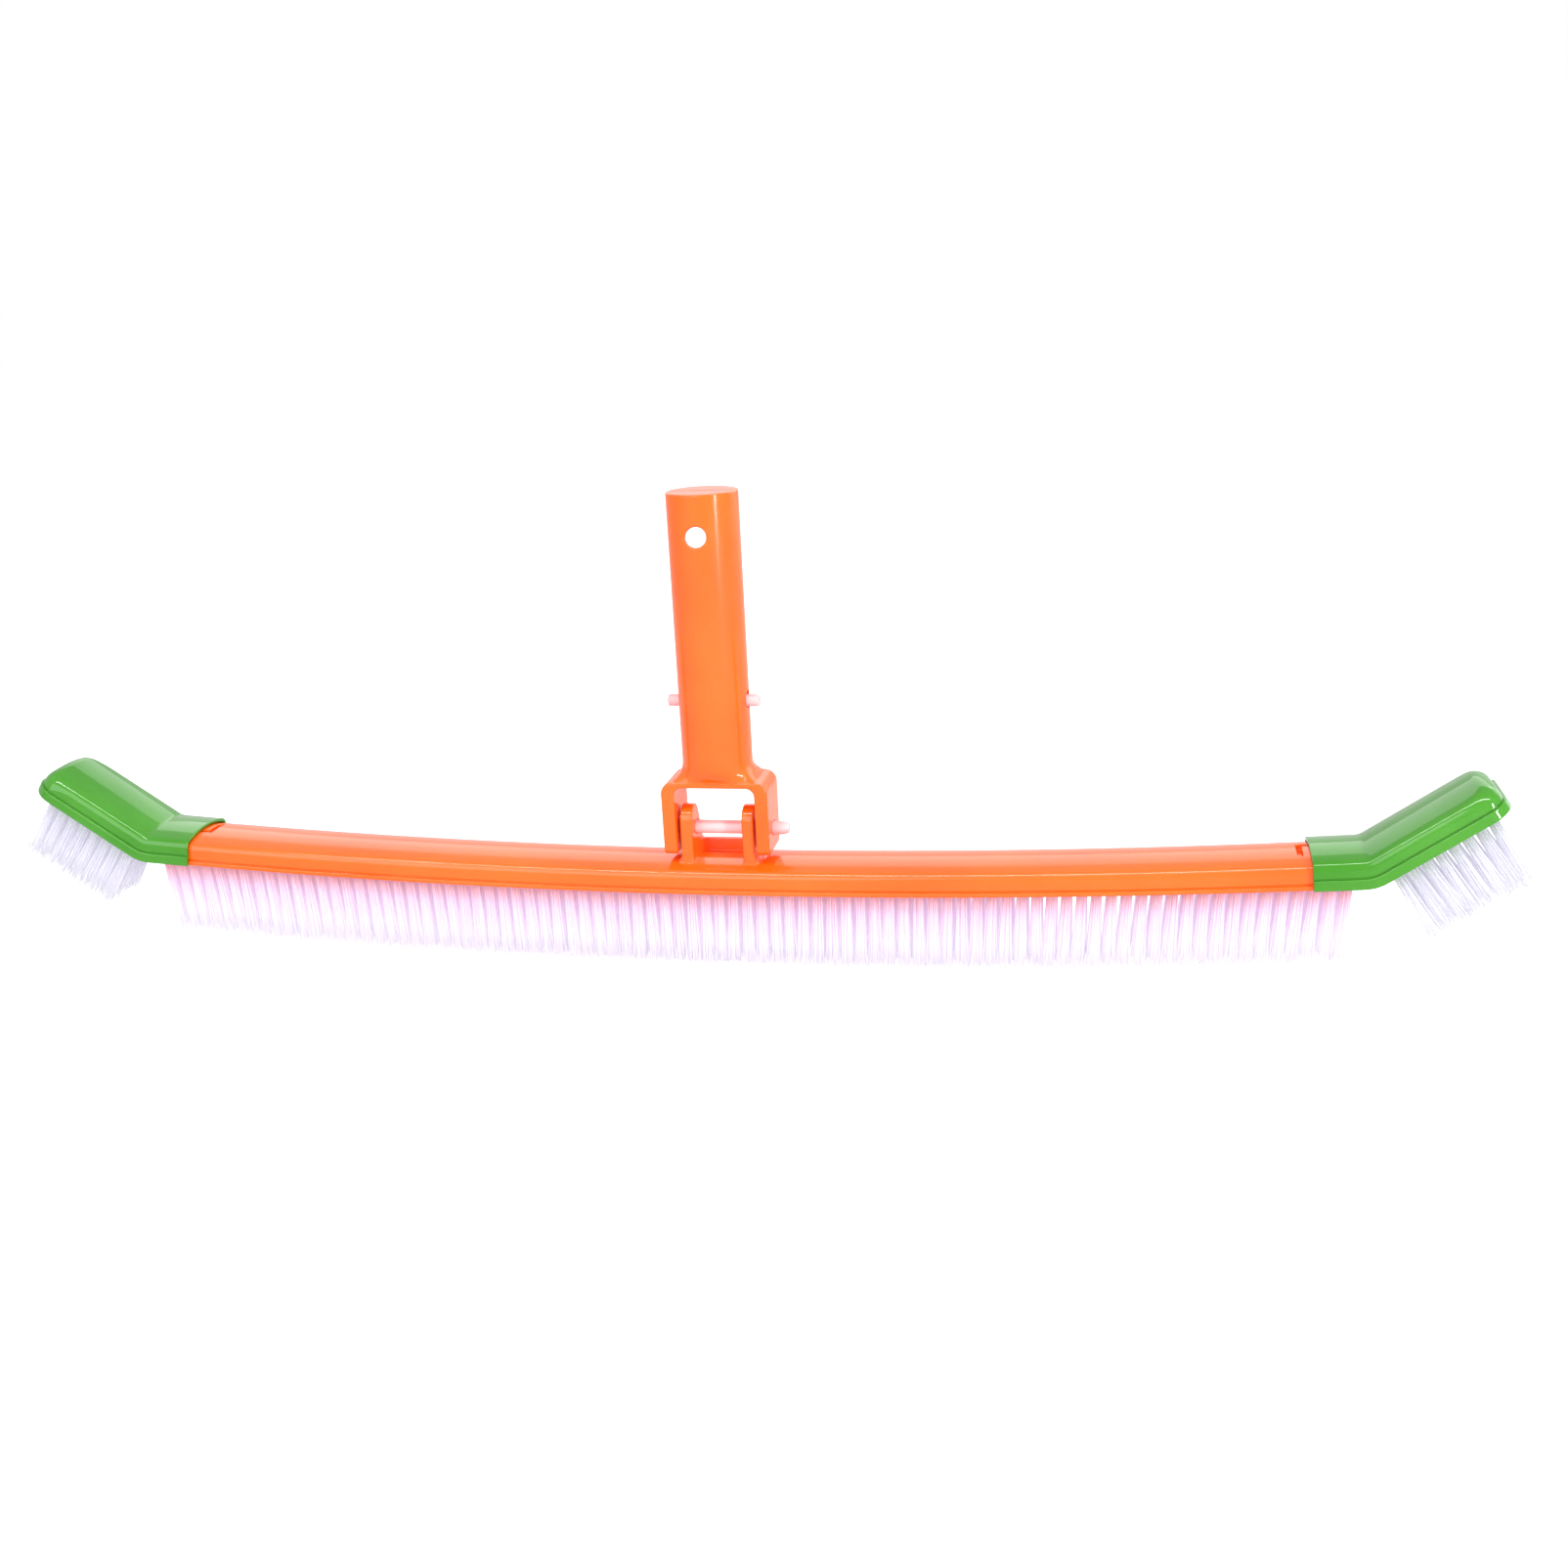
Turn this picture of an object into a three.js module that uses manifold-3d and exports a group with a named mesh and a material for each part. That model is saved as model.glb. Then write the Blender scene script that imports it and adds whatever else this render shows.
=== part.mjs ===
// Curved pool wall brush with a hinged pole handle.
// Millimetres. +Z runs up the pole, +X along the brush and -Y towards the front.
// The origin is the middle of the closed flat end of the pole socket tube.
import * as THREE from 'three';
import { mergeVertices } from 'three/addons/utils/BufferGeometryUtils.js';
import { ConvexGeometry } from 'three/addons/geometries/ConvexGeometry.js';
import Module from 'manifold-3d';

const wasm = await Module();
wasm.setup();

// ---------------------------------------------------------------- driving dimensions

const clearance = 0.3; // gap between pieces that seat on each other
const cutMargin = 5; // how far a cutting tool runs past the face that it opens

// Brush back: a loaf-shaped bar bent along an arc, with a lip along both bottom edges
const arcRadius = 3500;
const backHalfLength = 250;
const backHalfWidth = 16.8;
const backHeight = 11.6;
const backShoulderHeight = 8.7;
const backShoulderRadius = 1.4;
const backLipHeight = 1.8;
const backLipStep = 0.7;
const backDraft = 0.4;

// Hinge ears and the web that joins them
const pinHeight = 23.8; // hinge axis above the underside of the back
const earInner = 10.4;
const earThickness = 5;
const earFront = 9;
const earTopRadius = 6.5;
const earTopRise = 4; // centre of the ear's round top above the hinge axis
const earBackSlope = THREE.MathUtils.degToRad(21.7);
const webThickness = 3;
const webBack = 8.5;
const webRise = 5.1; // web above the crown of the back

// Hinge pin
const pinDiameter = 5.6;
const pinHeadDiameter = 8;
const pinHeadThickness = 1.4;
const pinTipLength = 6.6; // pin beyond the right arm
const pinTipDiameter = 3.4;
const pinTipTaper = 2.2;
const pinTipRound = 0.5; // height and depth of the chamfer at the very tip

// Yoke
const earSideGap = 1.15; // running gap between an ear and its arm
const armThickness = 5.4;
const yokeDepth = 22;
const yokeRise = 21.9; // top of the yoke above the hinge axis
const yokeFootGap = 3.3; // between the arms' feet and the crown of the back
const bridgeThickness = 2.4;
const yokeOuterRadius = 5;
const yokeInnerRadius = 3.5;
const armCornerRadius = 2.5;
const flareHeight = 5;
const flareInset = 5.5;
const join = 1; // depth by which pieces of one moulding run into each other

// Pole socket tube
const tubeDiameter = 28.5;
const tubeTop = 137.4; // closed end above the hinge axis
const tubeWall = 2.75;
const tubeEndWall = 3;
const boreFloor = 6; // solid above the yoke before the bore begins
const poleHoleDiameter = 8.2;
const poleHoleDepth = 16.1; // hole centre below the closed end
const poleHoleTurn = THREE.MathUtils.degToRad(14); // swings the hole's rear mouth towards -X
const poleHoleTilt = THREE.MathUtils.degToRad(8.6); // and lowers it

// Sprung locking clip inside the tube
const buttonHeight = 53.6; // above the hinge axis
const buttonDiameter = 5;
const buttonProud = 4.5;
const buttonHoleGap = 0.6;
const buttonSwingRoom = 1.3; // extra hole height above the button for its arc when pressed
const clipWidth = 8;
const clipThickness = 2;
const clipSideGap = 0.45; // between the leg's corners and the bore
const clipSlotGap = 0.8; // between the clip and the slot that it is pushed in through
const clipPivotHeight = 32; // foot of the legs above the hinge axis
const clipLegAbove = 4.5; // leg above the middle of the button
const buttonChamfer = 0.6;

// End caps
const capOverlap = 17.3; // sleeve over the end of the back
const capWall = 1.2;
const capRoofGap = 0.4;
const capLipHeight = 4.2;
const capLipStep = 0.8;
const capShoulderRadius = 2;
const capBendGap = 1; // from the end of the back to the start of the bend
const capBendAngle = THREE.MathUtils.degToRad(30);
const capBendRadius = 17;
const wingLength = 51.5;
const wingCornerRadius = 9;
const wingTopRadius = 5;
const crownEase = 0.05; // keeps the rounded end from only grazing the crown

// Latch slot that frees a springy tab in the crown at each end of the back
const latchSlotWidth = 2.2;
const latchSlotDepth = 2.5;
const latchReach = 4.6; // slot beyond the cap's rim
const latchTabWidth = 11;
const latchOffset = 3.6; // slot's long leg from the middle line, towards the rear

// Bristles
const tuftWidth = 4.2;
const tuftRows = 4;
const rowSpacing = 7.4;
const sectionCount = 5;
const tuftPitch = 5.85;
const tuftEndMargin = 1.3; // outermost tufts' half pitch from the end of the back
const tuftLength = 31.6;
const tuftFocus = 2900; // depth below the roots at which the tufts' lines would meet
const gapShare = 0.62; // share of a tuft's length over which it stands clear of its neighbours
const sectionGap = 0.4; // between neighbouring bristle sections at their tips
const capTuftPitch = 5.6;
const capTuftLength = 31;
const capRowSpacing = 6.2;
const capTuftInset = 3.8; // first tuft from the start of the wing
const capTuftEnd = 8.3; // least distance of the last tuft from the wing's tip

// Colours
const orange = { color: '#ff6a1a', roughness: 0.38, metalness: 0 };
const green = { color: '#45a82c', roughness: 0.22, metalness: 0 };
const nylon = { color: '#fbe4e4', roughness: 0.45, metalness: 0 };
const bristle = { color: '#f6f4fb', roughness: 0.6, metalness: 0 };

// ---------------------------------------------------------------- helpers

function solid(geometry) {
  geometry.deleteAttribute('normal');
  geometry.deleteAttribute('uv');
  const merged = mergeVertices(geometry, 1e-4);
  const mesh = new wasm.Mesh({
    numProp: 3,
    vertProperties: new Float32Array(merged.attributes.position.array),
    triVerts: new Uint32Array(merged.index.array),
  });
  return new wasm.Manifold(mesh);
}

function geometryOf(manifold) {
  const mesh = manifold.getMesh();
  const geometry = new THREE.BufferGeometry();
  geometry.setAttribute('position', new THREE.BufferAttribute(mesh.vertProperties, 3));
  geometry.setIndex(new THREE.BufferAttribute(mesh.triVerts, 1));
  return geometry;
}

function part(name, manifold, finish) {
  const geometry = geometryOf(manifold);
  geometry.computeVertexNormals();
  const mesh = new THREE.Mesh(geometry, new THREE.MeshStandardMaterial(finish));
  mesh.name = name;
  return mesh;
}

function box(sizeX, sizeY, sizeZ, x, y, z) {
  return solid(new THREE.BoxGeometry(sizeX, sizeY, sizeZ).translate(x, y, z));
}

// Cylinder along Z between two heights
function postZ(diameter, low, high, segments = 40) {
  const geometry = new THREE.CylinderGeometry(diameter / 2, diameter / 2, high - low, segments);
  return solid(geometry.rotateX(Math.PI / 2).translate(0, 0, (low + high) / 2));
}

// Cylinder along X between two places, at depth y and height z
function postX(diameter, low, high, y, z, segments = 24) {
  const geometry = new THREE.CylinderGeometry(diameter / 2, diameter / 2, high - low, segments);
  return solid(geometry.rotateZ(-Math.PI / 2).translate((low + high) / 2, y, z));
}

// Outline drawn in X and Z, given thickness along Y about the depth `middle`
function slabY(shape, depth, middle = 0, curveSegments = 10) {
  const geometry = new THREE.ExtrudeGeometry(shape, { depth, bevelEnabled: false, curveSegments });
  return solid(geometry.translate(0, 0, -depth / 2).rotateX(Math.PI / 2).translate(0, middle, 0));
}

// Outline drawn in Y and Z, given thickness along X from `low` to `high`
function slabX(shape, low, high, curveSegments = 16) {
  const depth = high - low;
  const geometry = new THREE.ExtrudeGeometry(shape, { depth, bevelEnabled: false, curveSegments });
  const toYZ = new THREE.Matrix4().makeBasis(
    new THREE.Vector3(0, 1, 0),
    new THREE.Vector3(0, 0, 1),
    new THREE.Vector3(1, 0, 0),
  );
  return solid(geometry.applyMatrix4(toYZ).translate(low, 0, 0));
}

// ---------------------------------------------------------------- the back's arc

const arcAngle = (x) => Math.asin(x / arcRadius);
const capOpening = backHalfLength - capOverlap;
const capBendStart = backHalfLength + capBendGap;

// The underside's middle line at angle `a` along the arc, in X and Z
function onArc(a) {
  return new THREE.Vector2(arcRadius * Math.sin(a), arcRadius * (1 - Math.cos(a)));
}

// The underside of the back, from one distance along X to another
class BackArc extends THREE.Curve {
  constructor(fromX, toX) {
    super();
    this.from = arcAngle(fromX);
    this.to = arcAngle(toX);
  }

  getPoint(t, target = new THREE.Vector3()) {
    const place = onArc(THREE.MathUtils.lerp(this.from, this.to, t));
    return target.set(place.x, 0, place.y);
  }
}

// Loaf section: lip, side wall with draft, round shoulder, domed crown
function loafSection(s) {
  const shape = new THREE.Shape();
  const wall = s.halfWidth - s.lipStep;
  const shoulder = wall - s.draft;
  const rise = s.height - s.shoulderHeight;
  const domeRadius = (shoulder * shoulder + rise * rise) / (2 * rise);
  const domeInset = shoulder - s.shoulderRadius;
  const domeHalfAngle = Math.asin(domeInset / domeRadius);
  const domeCentre = s.height - domeRadius;
  const domeStart = domeCentre + domeRadius * Math.cos(domeHalfAngle);
  shape.moveTo(-s.halfWidth, s.bottom);
  shape.lineTo(s.halfWidth, s.bottom);
  shape.lineTo(s.halfWidth, s.lipHeight);
  shape.lineTo(wall, s.lipHeight);
  shape.lineTo(shoulder, s.shoulderHeight - s.shoulderRadius);
  shape.quadraticCurveTo(shoulder, s.shoulderHeight, domeInset, domeStart);
  const middle = Math.PI / 2;
  shape.absarc(0, domeCentre, domeRadius, middle - domeHalfAngle, middle + domeHalfAngle, false);
  shape.quadraticCurveTo(-shoulder, s.shoulderHeight, -shoulder, s.shoulderHeight - s.shoulderRadius);
  shape.lineTo(-wall, s.lipHeight);
  shape.lineTo(-s.halfWidth, s.lipHeight);
  shape.closePath();
  return shape;
}

// A section moved along a path that runs towards -X, so the section's second axis points up
function sweep(section, path, steps, curveSegments = 4) {
  return solid(new THREE.ExtrudeGeometry(section, { extrudePath: path, steps, curveSegments }));
}

// ---------------------------------------------------------------- brush back

const backSection = {
  halfWidth: backHalfWidth,
  lipStep: backLipStep,
  draft: backDraft,
  height: backHeight,
  shoulderHeight: backShoulderHeight,
  shoulderRadius: backShoulderRadius,
  lipHeight: backLipHeight,
  bottom: 0,
};

const earOuter = earInner + earThickness;

function earOutline() {
  const foot = backShoulderHeight / 2;
  const centreY = earTopRadius - earFront;
  const centreZ = pinHeight + earTopRise;
  const endY = centreY + earTopRadius * Math.cos(earBackSlope);
  const endZ = centreZ + earTopRadius * Math.sin(earBackSlope);
  const footY = endY + (endZ - foot) * Math.tan(earBackSlope);
  const shape = new THREE.Shape();
  shape.moveTo(-earFront, foot);
  shape.lineTo(footY, foot);
  shape.lineTo(endY, endZ);
  shape.absarc(centreY, centreZ, earTopRadius, earBackSlope, Math.PI, false);
  shape.closePath();
  return shape;
}

// L-shaped slot that frees a springy tab, at the end where x is positive
function latchSlot() {
  const start = capOpening - latchReach;
  const length = backHalfLength + cutMargin - start;
  const rim = onArc(arcAngle(capOpening)).y + backHeight;
  const high = rim + cutMargin - latchSlotDepth;
  const tabMiddle = latchOffset - latchTabWidth / 2;
  const long = box(length, latchSlotWidth, cutMargin * 2, start + length / 2, latchOffset, high);
  const middle = start + latchSlotWidth / 2;
  const short = box(latchSlotWidth, latchTabWidth, cutMargin * 2, middle, tabMiddle, high);
  return long.add(short);
}

function brushBack() {
  let body = sweep(loafSection(backSection), new BackArc(backHalfLength, -backHalfLength), 12);
  const outline = earOutline();
  for (const side of [-1, 1]) {
    const low = side < 0 ? -earOuter : earInner;
    body = body.add(slabX(outline, low, low + earThickness));
  }
  const webTop = backHeight + webRise;
  const webFoot = backShoulderHeight / 2;
  const webWidth = 2 * earInner + earThickness;
  const webMiddle = webBack - webThickness / 2;
  body = body.add(box(webWidth, webThickness, webTop - webFoot, 0, webMiddle, (webTop + webFoot) / 2));
  const hole = pinDiameter + 2 * clearance;
  body = body.subtract(postX(hole, -earOuter - cutMargin, earOuter + cutMargin, 0, pinHeight));
  const slot = latchSlot();
  return body.subtract(slot).subtract(slot.rotate([0, 0, 180]));
}

// ---------------------------------------------------------------- end caps

const bendFrom = arcAngle(capBendStart);
const bendTo = bendFrom + capBendAngle;
const bendStartPoint = onArc(bendFrom);
const bendCentre = new THREE.Vector2(
  bendStartPoint.x - capBendRadius * Math.sin(bendFrom),
  bendStartPoint.y + capBendRadius * Math.cos(bendFrom),
);

function bendPoint(a) {
  return new THREE.Vector2(
    bendCentre.x + capBendRadius * Math.sin(a),
    bendCentre.y - capBendRadius * Math.cos(a),
  );
}

const wingStart = bendPoint(bendTo);
const wingDirection = new THREE.Vector2(Math.cos(bendTo), Math.sin(bendTo));
const capBendSteps = 6;
const capSleeveSteps = 2;
const capPathSteps = 1 + capBendSteps + capSleeveSteps;

// Underside of a cap: wing, bend, then the sleeve along the back's arc.
// Its stations are spaced by need: one for the straight wing, most of them round the bend.
class CapPath extends THREE.Curve {
  constructor(wing, opening) {
    super();
    this.sleeve = new BackArc(capBendStart, opening);
    this.wing = wing;
    this.bendEnd = (1 + capBendSteps) / capPathSteps;
  }

  getUtoTmapping(u) {
    return u;
  }

  getPoint(t, target = new THREE.Vector3()) {
    const station = t * capPathSteps;
    if (station < 1) {
      const place = wingStart.clone().addScaledVector(wingDirection, this.wing * (1 - station));
      return target.set(place.x, 0, place.y);
    }
    if (t < this.bendEnd) {
      const place = bendPoint(bendTo - (capBendAngle * (station - 1)) / capBendSteps);
      return target.set(place.x, 0, place.y);
    }
    return this.sleeve.getPoint((t - this.bendEnd) / (1 - this.bendEnd), target);
  }
}

const capInnerHalf = backHalfWidth + clearance;
const capOuterHalf = backHalfWidth - backLipStep + clearance + capWall + capLipStep;
const capHeight = backHeight + capRoofGap + capWall;
const capShoulderHeight = backShoulderHeight + capRoofGap + capWall;

const capBodySection = {
  halfWidth: capOuterHalf - capLipStep,
  lipStep: 0,
  draft: backDraft,
  height: capHeight,
  shoulderHeight: capShoulderHeight,
  shoulderRadius: capShoulderRadius,
  lipHeight: capLipHeight,
  bottom: 0,
};

const capCavitySection = {
  halfWidth: capInnerHalf,
  lipStep: backLipStep,
  draft: backDraft,
  height: backHeight + capRoofGap,
  shoulderHeight: backShoulderHeight + capRoofGap,
  shoulderRadius: backShoulderRadius,
  lipHeight: backLipHeight + clearance,
  bottom: -cutMargin,
};

// Turns something drawn with its origin on the wing's underside into the wing's place
function onWing(geometry) {
  return geometry.rotateY(-bendTo).translate(wingStart.x, 0, wingStart.y);
}

const toolReach = 120; // longer and taller than a whole cap
const toolHeight = 90;

// Everything inside the wing's plan outline, which has round corners at its outer end
function wingPlan(halfWidth, end, cornerRadius) {
  const shape = new THREE.Shape();
  shape.moveTo(-toolReach, -halfWidth);
  shape.lineTo(end - cornerRadius, -halfWidth);
  shape.absarc(end - cornerRadius, -halfWidth + cornerRadius, cornerRadius, -Math.PI / 2, 0, false);
  shape.absarc(end - cornerRadius, halfWidth - cornerRadius, cornerRadius, 0, Math.PI / 2, false);
  shape.lineTo(-toolReach, halfWidth);
  shape.closePath();
  const options = { depth: toolHeight, bevelEnabled: false, curveSegments: 8 };
  const geometry = new THREE.ExtrudeGeometry(shape, options).translate(0, 0, -toolHeight / 2);
  return solid(onWing(geometry));
}

// Everything inside the wing's side outline, which is rounded over at its outer end
function wingSide(end) {
  const shape = new THREE.Shape();
  shape.moveTo(-toolReach, -toolHeight / 2);
  shape.lineTo(end, -toolHeight / 2);
  const centre = new THREE.Vector2(end - wingTopRadius, capHeight - wingTopRadius + crownEase);
  shape.lineTo(end, centre.y);
  shape.absarc(centre.x, centre.y, wingTopRadius, 0, Math.PI / 2, false);
  shape.lineTo(-toolReach, toolHeight);
  shape.closePath();
  const options = { depth: toolHeight, bevelEnabled: false, curveSegments: 8 };
  const geometry = new THREE.ExtrudeGeometry(shape, options).translate(0, 0, -toolHeight / 2);
  return solid(onWing(geometry.rotateX(Math.PI / 2)));
}

function endCap() {
  const path = new CapPath(wingLength, capOpening - cutMargin / 2);
  const bodyEnd = wingLength - capLipStep;
  const lip = new THREE.Shape();
  lip.moveTo(-capOuterHalf, 0);
  lip.lineTo(capOuterHalf, 0);
  lip.lineTo(capOuterHalf, capLipHeight);
  lip.lineTo(-capOuterHalf, capLipHeight);
  lip.closePath();
  let cap = sweep(loafSection(capBodySection), path, capPathSteps);
  cap = cap.intersect(wingPlan(capOuterHalf - capLipStep, bodyEnd, wingCornerRadius - capLipStep));
  cap = cap.intersect(wingSide(bodyEnd));
  const lipPlan = wingPlan(capOuterHalf, wingLength, wingCornerRadius);
  const lipBody = sweep(lip, path, capPathSteps).intersect(lipPlan);
  const cavityPath = new BackArc(backHalfLength + clearance, capOpening - 2 * cutMargin);
  const cavity = sweep(loafSection(capCavitySection), cavityPath, 4);
  const rim = box(2 * cutMargin, toolHeight, toolHeight, capOpening - cutMargin, 0, 0);
  return cap.add(lipBody).subtract(cavity).subtract(rim);
}

// ---------------------------------------------------------------- handle

const armInner = earOuter + earSideGap;
const armOuter = armInner + armThickness;
const yokeDrop = pinHeight - backHeight - yokeFootGap; // arms below the hinge axis
const windowTop = yokeRise - bridgeThickness;
const boreDiameter = tubeDiameter - 2 * tubeWall;
const boreLow = yokeRise + boreFloor;
const boreHigh = tubeTop - tubeEndWall;
const boreAtClipEdge = Math.sqrt((boreDiameter / 2) ** 2 - (clipWidth / 2) ** 2);
const legMiddle = boreAtClipEdge - clipSideGap - clipThickness / 2;

// Upside-down U, drawn with the hinge axis at the origin
function yokeOutline() {
  const shape = new THREE.Shape();
  const outerZ = yokeRise - yokeOuterRadius;
  const innerZ = windowTop - yokeInnerRadius;
  shape.moveTo(armOuter, -yokeDrop);
  shape.lineTo(armOuter, outerZ);
  shape.absarc(armOuter - yokeOuterRadius, outerZ, yokeOuterRadius, 0, Math.PI / 2, false);
  shape.absarc(-armOuter + yokeOuterRadius, outerZ, yokeOuterRadius, Math.PI / 2, Math.PI, false);
  shape.lineTo(-armOuter, -yokeDrop);
  shape.lineTo(-armInner, -yokeDrop);
  shape.lineTo(-armInner, innerZ);
  shape.absarc(-armInner + yokeInnerRadius, innerZ, yokeInnerRadius, Math.PI, Math.PI / 2, true);
  shape.absarc(armInner - yokeInnerRadius, innerZ, yokeInnerRadius, Math.PI / 2, 0, true);
  shape.lineTo(armInner, -yokeDrop);
  shape.closePath();
  return shape;
}

// Side view of the yoke, with its lower corners rounded so that it clears the back when it tilts
function yokeSideOutline() {
  const shape = new THREE.Shape();
  const half = yokeDepth / 2;
  const r = armCornerRadius;
  shape.moveTo(-half, yokeRise + cutMargin);
  shape.lineTo(-half, -yokeDrop + r);
  shape.absarc(-half + r, -yokeDrop + r, r, Math.PI, 1.5 * Math.PI, false);
  shape.absarc(half - r, -yokeDrop + r, r, 1.5 * Math.PI, 2 * Math.PI, false);
  shape.lineTo(half, yokeRise + cutMargin);
  shape.closePath();
  return shape;
}

// Shoulder that spreads the round tube onto the yoke's flat top
function flare() {
  const points = [];
  const halfX = armOuter - flareInset;
  const halfY = yokeDepth / 2;
  for (const x of [-halfX, halfX]) {
    for (const y of [-halfY, halfY]) {
      points.push(new THREE.Vector3(x, y, yokeRise - bridgeThickness / 2));
      points.push(new THREE.Vector3(x, y, yokeRise));
    }
  }
  const segments = 40;
  for (let i = 0; i < segments; i += 1) {
    const a = (i / segments) * 2 * Math.PI;
    const r = tubeDiameter / 2;
    points.push(new THREE.Vector3(r * Math.cos(a), r * Math.sin(a), yokeRise + flareHeight));
  }
  return solid(new ConvexGeometry(points));
}

// Upright slot with round ends that lets a button out of the tube on both sides
function buttonHole() {
  const r = buttonDiameter / 2 + buttonHoleGap;
  const shape = new THREE.Shape();
  shape.absarc(0, buttonHeight, r, Math.PI, 2 * Math.PI, false);
  shape.absarc(0, buttonHeight + buttonSwingRoom, r, 0, Math.PI, false);
  shape.closePath();
  const reach = tubeDiameter / 2 + cutMargin;
  return slabX(shape, -reach, reach, 12);
}

function handle() {
  let body = slabY(yokeOutline(), yokeDepth).intersect(slabX(yokeSideOutline(), -armOuter, armOuter, 6));
  body = body.add(flare());
  body = body.add(postZ(tubeDiameter, yokeRise + flareHeight - join, tubeTop));
  body = body.subtract(postZ(boreDiameter, boreLow, boreHigh));
  const clipSlotX = 2 * (legMiddle + clipThickness / 2 + clipSlotGap);
  const clipSlotY = clipWidth + 2 * clipSlotGap;
  const slotLow = windowTop - cutMargin;
  const slotHigh = boreLow + join;
  body = body.subtract(box(clipSlotX, clipSlotY, slotHigh - slotLow, 0, 0, (slotLow + slotHigh) / 2));
  const poleHole = new THREE.CylinderGeometry(
    poleHoleDiameter / 2, poleHoleDiameter / 2, tubeDiameter + 2 * cutMargin, 32);
  poleHole.translate(0, tubeDiameter / 2, 0).rotateX(-poleHoleTilt).rotateZ(poleHoleTurn);
  poleHole.translate(0, -tubeDiameter / 2, tubeTop - poleHoleDepth);
  body = body.subtract(solid(poleHole));
  body = body.subtract(buttonHole());
  const pinHole = pinDiameter + 2 * clearance;
  body = body.subtract(postX(pinHole, -armOuter - cutMargin, armOuter + cutMargin, 0, 0));
  const headHole = pinHeadDiameter + 2 * clearance;
  const headFloor = -armOuter + pinHeadThickness + clearance;
  return body.subtract(postX(headHole, -armOuter - cutMargin, headFloor, 0, 0));
}

function hingePin() {
  const r = pinDiameter / 2;
  const headFace = -armOuter;
  const tip = armOuter + pinTipLength;
  const profile = [
    new THREE.Vector2(0, headFace),
    new THREE.Vector2(pinHeadDiameter / 2, headFace),
    new THREE.Vector2(pinHeadDiameter / 2, headFace + pinHeadThickness),
    new THREE.Vector2(r, headFace + pinHeadThickness),
    new THREE.Vector2(r, tip - pinTipTaper),
    new THREE.Vector2(pinTipDiameter / 2 + pinTipRound, tip - pinTipRound),
    new THREE.Vector2(pinTipDiameter / 2, tip),
    new THREE.Vector2(0, tip),
  ];
  return solid(new THREE.LatheGeometry(profile, 24).rotateZ(-Math.PI / 2));
}

// ---------------------------------------------------------------- sprung clip

// Leg and button on the right side, drawn with the hinge axis of the brush at the origin
function clipLeg() {
  const r = clipThickness / 2;
  const shape = new THREE.Shape();
  const top = buttonHeight + clipLegAbove;
  shape.absarc(legMiddle, clipPivotHeight, r, Math.PI, 2 * Math.PI, false);
  shape.absarc(legMiddle, top - r, r, 0, Math.PI, false);
  shape.closePath();
  const tip = tubeDiameter / 2 + buttonProud;
  const profile = [
    new THREE.Vector2(0, legMiddle),
    new THREE.Vector2(buttonDiameter / 2, legMiddle),
    new THREE.Vector2(buttonDiameter / 2, tip - buttonChamfer),
    new THREE.Vector2(buttonDiameter / 2 - buttonChamfer, tip),
    new THREE.Vector2(0, tip),
  ];
  const button = new THREE.LatheGeometry(profile, 16).rotateZ(-Math.PI / 2).translate(0, 0, buttonHeight);
  return slabY(shape, clipWidth, 0, 6).add(solid(button));
}

// Half ring that joins the feet of the two legs
function clipBend() {
  const outer = legMiddle + clipThickness / 2;
  const inner = legMiddle - clipThickness / 2;
  const height = clipPivotHeight - clipThickness / 2 - clearance;
  const shape = new THREE.Shape();
  shape.absarc(0, height, outer, Math.PI, 2 * Math.PI, false);
  shape.absarc(0, height, inner, 2 * Math.PI, Math.PI, true);
  shape.closePath();
  return slabY(shape, clipWidth, 0, 12);
}

// ---------------------------------------------------------------- bristles

// A row of tufts seen from the front: separate at their roots, spread into each other at their tips.
// `place(along, depth)` turns a distance along the row and a depth below the roots into X and Z.
function tuftRow(count, pitch, length, endTrim, place) {
  const points = [];
  const first = -((count - 1) * pitch) / 2;
  const half = tuftWidth / 2;
  const spread = pitch / 2 - endTrim;
  for (let i = 0; i < count; i += 1) {
    const middle = first + i * pitch;
    points.push(place(middle - half, clearance));
    points.push(place(middle + half, clearance));
    if (i < count - 1) points.push(place(middle + pitch / 2, clearance + length * gapShare));
  }
  const last = first + (count - 1) * pitch;
  const tipSteps = 4;
  for (let i = 0; i <= tipSteps; i += 1) {
    const along = THREE.MathUtils.lerp(last + spread, first - spread, i / tipSteps);
    points.push(place(along, length));
  }
  return new THREE.Shape(points);
}

const mainRowLength = 2 * (backHalfLength - tuftEndMargin);
const tuftsPerSection = Math.floor(mainRowLength / (sectionCount * tuftPitch));
const capTuftCount = 1 + Math.floor((wingLength - capTuftInset - capTuftEnd) / capTuftPitch);

function rowDepths(rows, spacing) {
  return Array.from({ length: rows }, (_, row) => (row - (rows - 1) / 2) * spacing);
}

function addMainBristles(group) {
  const sectionLength = tuftsPerSection * tuftPitch;
  for (let section = 0; section < sectionCount; section += 1) {
    const middle = (section - (sectionCount - 1) / 2) * sectionLength;
    const place = (along, depth) => {
      const x = middle + along;
      const inward = 1 - depth / tuftFocus;
      return new THREE.Vector2(x * inward, onArc(arcAngle(x)).y - depth);
    };
    const outline = tuftRow(tuftsPerSection, tuftPitch, tuftLength, sectionGap / 2, place);
    rowDepths(tuftRows, rowSpacing).forEach((depth, row) => {
      const name = `bristle_row_${row + 1}_section_${section + 1}`;
      group.add(part(name, slabY(outline, tuftWidth, depth), bristle));
    });
  }
}

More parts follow.
